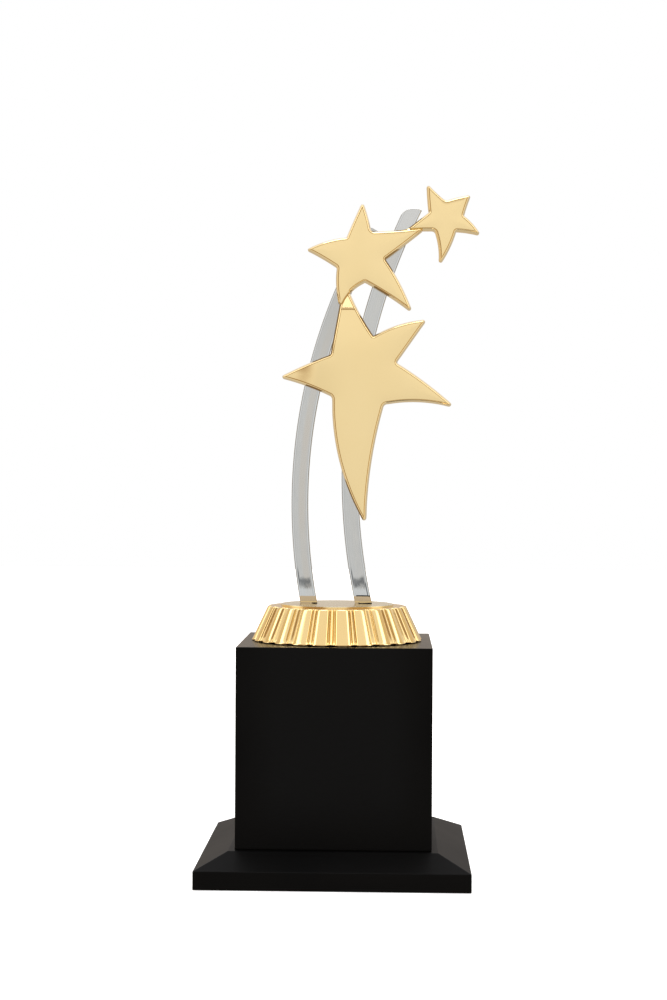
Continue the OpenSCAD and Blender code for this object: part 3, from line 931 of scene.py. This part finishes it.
SLAB_LAND = 44.0 * MM      # half width of the slab's level land
SLAB_SIDE = 7.7 * MM       # height of its upright side
RECESS_R = 10.0 * MM       # the nut's recess under the slab
RECESS_H = 9.8 * MM
BORE_R = 3.3 * MM          # the tie rod's bore
FELT_INSET = 3.0 * MM      # from the slab's side to the felt's pocket
PLINTH_CORNER = 0.5 * MM   # rounding of the upright corners
SLAB_EDGE = 0.3 * MM       # rounding of the other edges
BLOCK_EDGE = 0.35 * MM
POCKET_RING = 20 * MM      # one more ring on each level face, so far in from its edge
LAND_RING = 15 * MM
CAP_RING = 12 * MM
CORNER_STEPS = 6
SIDE_STEPS = 6


def square_ring(half, corner, z):
    """A square ring with round corners, counter-clockwise from above."""
    points = []
    for quarter in range(4):
        a0 = math.pi / 2 * quarter
        turn = Matrix.Rotation(a0, 2)
        centre = Vector((half - corner, half - corner))
        for k in range(CORNER_STEPS + 1):
            a = math.pi / 2 * k / CORNER_STEPS
            p = turn @ (centre + corner * Vector((math.cos(a), math.sin(a))))
            points.append((p.x, p.y, z))
        ahead = turn @ (centre + corner * Vector((0.0, 1.0)))
        after = turn @ (Matrix.Rotation(math.pi / 2, 2) @ (centre + corner * Vector((1.0, 0.0))))
        for k in range(1, SIDE_STEPS):
            p = ahead.lerp(after, k / SIDE_STEPS)
            points.append((p.x, p.y, z))
    return np.array(points)


def round_ring(radius, z):
    """A circle with the same number of points, and the same start, as square_ring."""
    square = square_ring(1.0, 0.02, 0.0)
    angles = np.arctan2(square[:, 1], square[:, 0])
    return np.stack([radius * np.cos(angles), radius * np.sin(angles),
                     np.full(len(angles), z)], axis=1)


def rounded_edge(corners, radius, steps=4):
    """Rounds the bends of a (half width, z) profile, with curves of that size."""
    out = []
    for before, at, after in zip(corners, corners[1:], corners[2:]):
        at = np.array(at)
        to_a = np.array(before) - at
        to_b = np.array(after) - at
        cut = min(radius, np.linalg.norm(to_a) * 0.45, np.linalg.norm(to_b) * 0.45)
        pa = at + to_a / np.linalg.norm(to_a) * cut
        pb = at + to_b / np.linalg.norm(to_b) * cut
        for k in range(steps + 1):
            s = k / steps
            out.append(pa * (1 - s) ** 2 + at * 2 * s * (1 - s) + pb * s * s)
    return [tuple(corners[0])] + [tuple(p) for p in out] + [tuple(corners[-1])]


def lacquered_solid(name, profile, hole, edge, mat, replaced):
    """Square lofted solid round a central bore.

    profile is (half width, z) from the underside up to the top, with bends
    rounded by edge, and hole is (radius, z) from there back down.
    """
    rings = [square_ring(w, PLINTH_CORNER, z) for w, z in rounded_edge(profile, edge)]
    rings += [round_ring(r, z) for r, z in hole]
    verts, faces = loft(rings)
    piece = new_piece(name, verts, faces, mat)
    shade = piece.modifiers.new("normals", "WEIGHTED_NORMAL")
    shade.weight = 90
    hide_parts(*replaced)


def add_slab(mat):
    low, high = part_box("base_slab")
    edge = high[0]
    pocket, pocket_top = edge - FELT_INSET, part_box("felt_pad")[1][2]
    recess_top = low[2] + RECESS_H
    profile = [(edge - POCKET_RING, pocket_top), (pocket, pocket_top), (pocket, low[2]),
               (edge, low[2]), (edge, low[2] + SLAB_SIDE),
               (SLAB_LAND, high[2]), (SLAB_LAND - LAND_RING, high[2])]
    hole = [(BORE_R, high[2]), (BORE_R, recess_top), (RECESS_R, recess_top),
            (RECESS_R, pocket_top)]
    lacquered_solid("slab_lacquered", profile, hole, SLAB_EDGE, mat, ["base_slab"])


def add_block(mat):
    top_low, top_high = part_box("plinth_top_board")
    front_low, front_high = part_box("plinth_front_board")
    half = top_high[0]
    wall = front_high[1] - front_low[1]
    profile = [(half - wall, front_low[2]), (half, front_low[2]), (half, top_high[2]),
               (half - CAP_RING, top_high[2])]
    hole = [(BORE_R, top_high[2]), (BORE_R, top_low[2])]
    lacquered_solid("block_lacquered", profile, hole, BLOCK_EDGE, mat,
                    ["plinth_front_board", "plinth_back_board", "plinth_left_board",
                     "plinth_right_board", "plinth_top_board"])


# ---------------------------------------------------------------- stage and light

FLOOR_HALF = 3.0
FLOOR_GLOW = 0.6
FLAG_LEFT = (0.40, 0.28, 0.17)
FLAG_RIGHT = (0.52, 0.38, 0.22)


def add_floor():
    h = FLOOR_HALF
    mesh = bpy.data.meshes.new("floor")
    mesh.from_pydata([(-h, -h, 0), (h, -h, 0), (h, h, 0), (-h, h, 0)], [], [(0, 1, 2, 3)])
    mat, tree, shader = new_material("floor")
    paper = noise(tree, object_coords(tree), 30.0, 2.0)
    tree.links.new(mix_colours(tree, paper, (0.93, 0.93, 0.93), (0.95, 0.95, 0.95)),
                   shader.inputs["Base Color"])
    shader.inputs["Roughness"].default_value = 0.9
    shader.inputs["Emission Color"].default_value = (1.0, 1.0, 1.0, 1.0)
    shader.inputs["Emission Strength"].default_value = FLOOR_GLOW
    mesh.materials.append(mat)
    floor = bpy.data.objects.new("floor", mesh)
    bpy.context.scene.collection.objects.link(floor)
    floor.visible_glossy = False


def studio_walls(tree, x, z, ahead):
    """A pale backdrop, warm on the left, and dark flags beside the front light."""
    lit = mix_colours(tree, smooth_step(tree, ahead, -0.1, -0.45),
                      (1.25, 1.22, 1.18), (0.625, 0.60, 0.58))
    warm_side = smooth_step(tree, times(tree, x, -1.0), 0.35, 0.65)
    lit = mix_colours(tree, times(tree, warm_side, smooth_step(tree, ahead, -0.2, -0.45)),
                      lit, (0.82, 0.68, 0.48))
    lit = mix_colours(tree, smooth_step(tree, ahead, -0.91, -0.965), lit, (0.645, 0.545, 0.45))
    flag = times(tree, smooth_step(tree, ahead, 0.18, 0.32), smooth_step(tree, ahead, 0.955, 0.90))
    lit = mix_colours(tree, flag, lit,
                      mix_colours(tree, smooth_step(tree, x, 0.15, 0.35), FLAG_LEFT, FLAG_RIGHT))
    front = mix_colours(tree, smooth_step(tree, z, -0.1, 0.3), (0.88, 0.88, 0.88), (1.06, 1.06, 1.06))
    lit = mix_colours(tree, smooth_step(tree, ahead, 0.90, 0.955), lit, front)
    return mix_colours(tree, smooth_step(tree, z, -0.72, -0.88), lit, (0.82, 0.80, 0.78))


def studio_overhead(tree, lit, z, turned):
    """Above the walls lit: a dark rim over the front light, side panels round a
    plain middle, and the white ceiling."""
    panels = mix_colours(tree, smooth_step(tree, turned, 0.56, 0.44),
                         (0.98, 0.96, 0.93), (2.4, 2.4, 2.4))
    panels = mix_colours(tree, smooth_step(tree, turned, 0.14, 0.02), panels, (0.74, 0.64, 0.50))
    panels = mix_colours(tree, smooth_step(tree, turned, -0.55, -0.75), panels, (0.92, 0.90, 0.92))
    rim = mix_colours(tree, smooth_step(tree, turned, 0.45, 0.62), panels, FLAG_LEFT)
    lit = mix_colours(tree, smooth_step(tree, z, 0.21, 0.27), lit, rim)
    lit = mix_colours(tree, smooth_step(tree, z, 0.46, 0.58), lit, panels)
    return mix_colours(tree, smooth_step(tree, z, 0.84, 0.92), lit, (1.4, 1.4, 1.45))


def add_sky():
    """A studio round the trophy. The camera itself sees plain white.

    ahead is 1 straight in front and -1 straight behind, turned is the same for
    the direction along the floor, and z is 1 straight up.
    """
    world = bpy.data.worlds.new("studio")
    bpy.context.scene.world = world
    world.use_nodes = True
    tree = world.node_tree
    tree.nodes.clear()
    at = add_node(tree, "ShaderNodeTexCoord")
    part = add_node(tree, "ShaderNodeSeparateXYZ", {"Vector": at.outputs["Generated"]})
    x, y, z = (part.outputs[k] for k in "XYZ")
    ahead = times(tree, y, -1.0)
    level2 = calc(tree, "SUBTRACT", 1.0, times(tree, z, z))
    turned = calc(tree, "DIVIDE", ahead,
                  calc(tree, "SQRT", calc(tree, "MAXIMUM", level2, 0.01)))
    lit = studio_overhead(tree, studio_walls(tree, x, z, ahead), z, turned)
    seen = add_node(tree, "ShaderNodeLightPath")
    shade = add_node(tree, "ShaderNodeBackground", {"Color": lit, "Strength": 1.0})
    plain = add_node(tree, "ShaderNodeBackground", {"Color": (1.0, 1.0, 1.0, 1.0), "Strength": 1.0})
    both = add_node(tree, "ShaderNodeMixShader", {
        0: seen.outputs["Is Camera Ray"], 1: shade.outputs[0], 2: plain.outputs[0]})
    out = add_node(tree, "ShaderNodeOutputWorld")
    tree.links.new(both.outputs[0], out.inputs["Surface"])


def add_lamp(name, at, aim, size, power):
    data = bpy.data.lights.new(name, "AREA")
    data.shape = "RECTANGLE"
    data.size, data.size_y = size
    data.energy = power
    lamp = bpy.data.objects.new(name, data)
    lamp.location = at
    lamp.rotation_mode = "QUATERNION"
    lamp.rotation_quaternion = (Vector(aim) - Vector(at)).to_track_quat("-Z", "Y")
    bpy.context.scene.collection.objects.link(lamp)


# ---------------------------------------------------------------- build

# heights here are above the disc's face
LEFT_ARC = (223.2 * MM, 44.7 * MM, 239.85 * MM)  # x, height and radius of a middle line
RIGHT_ARC = (268.3 * MM, 57.1 * MM, 262.95 * MM)
LARGE_STAR = (10.0 * MM, 98.2 * MM)  # x and height of its middle
RAMP = (129.2 * MM, 135.6 * MM)      # heights where the ramp on its top arm starts and ends

add_camera()
bpy.context.scene.view_settings.view_transform = "Standard"

star_gold = polished_metal("star_gold", (0.915, 0.715, 0.375), (0.90, 0.695, 0.355), 0.05, 0.09)
collar_gold = gold_with_painted_groove_shade("collar_gold", (0.93, 0.71, 0.35), (0.90, 0.66, 0.30), (0.30, 0.15, 0.04))
disc_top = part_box("centre_disc")[1][2]
disc_gold = gold_with_painted_pale_top("disc_gold", (0.81, 0.78, 0.61), (0.77, 0.73, 0.56), (0.93, 0.70, 0.33),
                        disc_top)
lacquer = satin_lacquer(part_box("plinth_front_board")[0][2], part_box("plinth_top_board")[1][2])
zinc = plated_steel("zinc_steel", (0.66, 0.66, 0.65), (0.52, 0.53, 0.54), 0.22, 0.38)
dark_steel = plated_steel("dark_steel", (0.10, 0.10, 0.10), (0.06, 0.06, 0.065), 0.35, 0.5)

add_ribbon("ribbon_left", ribbon_steel(
    "ribbon_left_silver", LEFT_ARC, disc_top, warm=0.8, foot_line=0.0, contact=1.2,
    top=((0.505, 0.50, 0.475), 90.0, 130.0)))
add_ribbon("ribbon_right", ribbon_steel(
    "ribbon_right_silver", RIGHT_ARC, disc_top, warm=0.2, foot_line=0.95, contact=-2.4,
    top=((0.66, 0.66, 0.645), 152.0, 168.0)))

large_loop = smooth_loop(plane_loop("star_large", False), OUTLINE_STEP)
medium_loop = smooth_loop(plane_loop("star_medium", True), OUTLINE_STEP)
small_loop = smooth_loop(plane_loop("star_small", False), OUTLINE_STEP)
mid_x, mid_z = LARGE_STAR[0], disc_top + LARGE_STAR[1]
add_star("star_large", star_gold, False, (medium_loop, "front"),
         ramp=(disc_top + RAMP[0], disc_top + RAMP[1], LAP_EDGE * 1.3),
         dents=[(mid_x - 5 * MM, mid_z + 24 * MM, 10 * MM, 0.0, 0.045),
                (mid_x - 24 * MM, mid_z + 4 * MM, 11 * MM, -0.17, -0.08)])
add_star("star_medium", star_gold, True, (large_loop, "back"),
         over=[(large_loop, 0.15), (small_loop, 1.0)])
add_star("star_small", star_gold, False, (medium_loop, "front"))

add_collar(collar_gold)
add_slab(lacquer)
add_block(lacquer)
# CAD node, finish, rounding in mm, its segments, least angle of the edges it takes
for node, mat, width, segments, angle in (
        ("centre_disc", disc_gold, 0.2, 3, 60.0), ("felt_pad", felt_pile(), 0.3, 2, 60.0),
        ("corner_glue_blocks", sawn_pine(), 0.4, 2, 40.0), ("tie_rod", zinc, 0.4, 2, 60.0),
        ("tie_nut", zinc, 0.35, 3, 50.0), ("tie_washer", zinc, 0.2, 2, 60.0),
        ("lock_washer", dark_steel, 0.15, 2, 60.0),
        ("ribbon_set_screws", dark_steel, 0.2, 2, 60.0), ("star_screws", zinc, 0.35, 3, 60.0)):
    soften_cad(node, mat, width * MM, segments, angle)

add_floor()
add_sky()
add_lamp("top_softbox", at=(0.0, 0.0, 1.5), aim=(0, 0, 0.15), size=(0.8, 0.8), power=6.5)
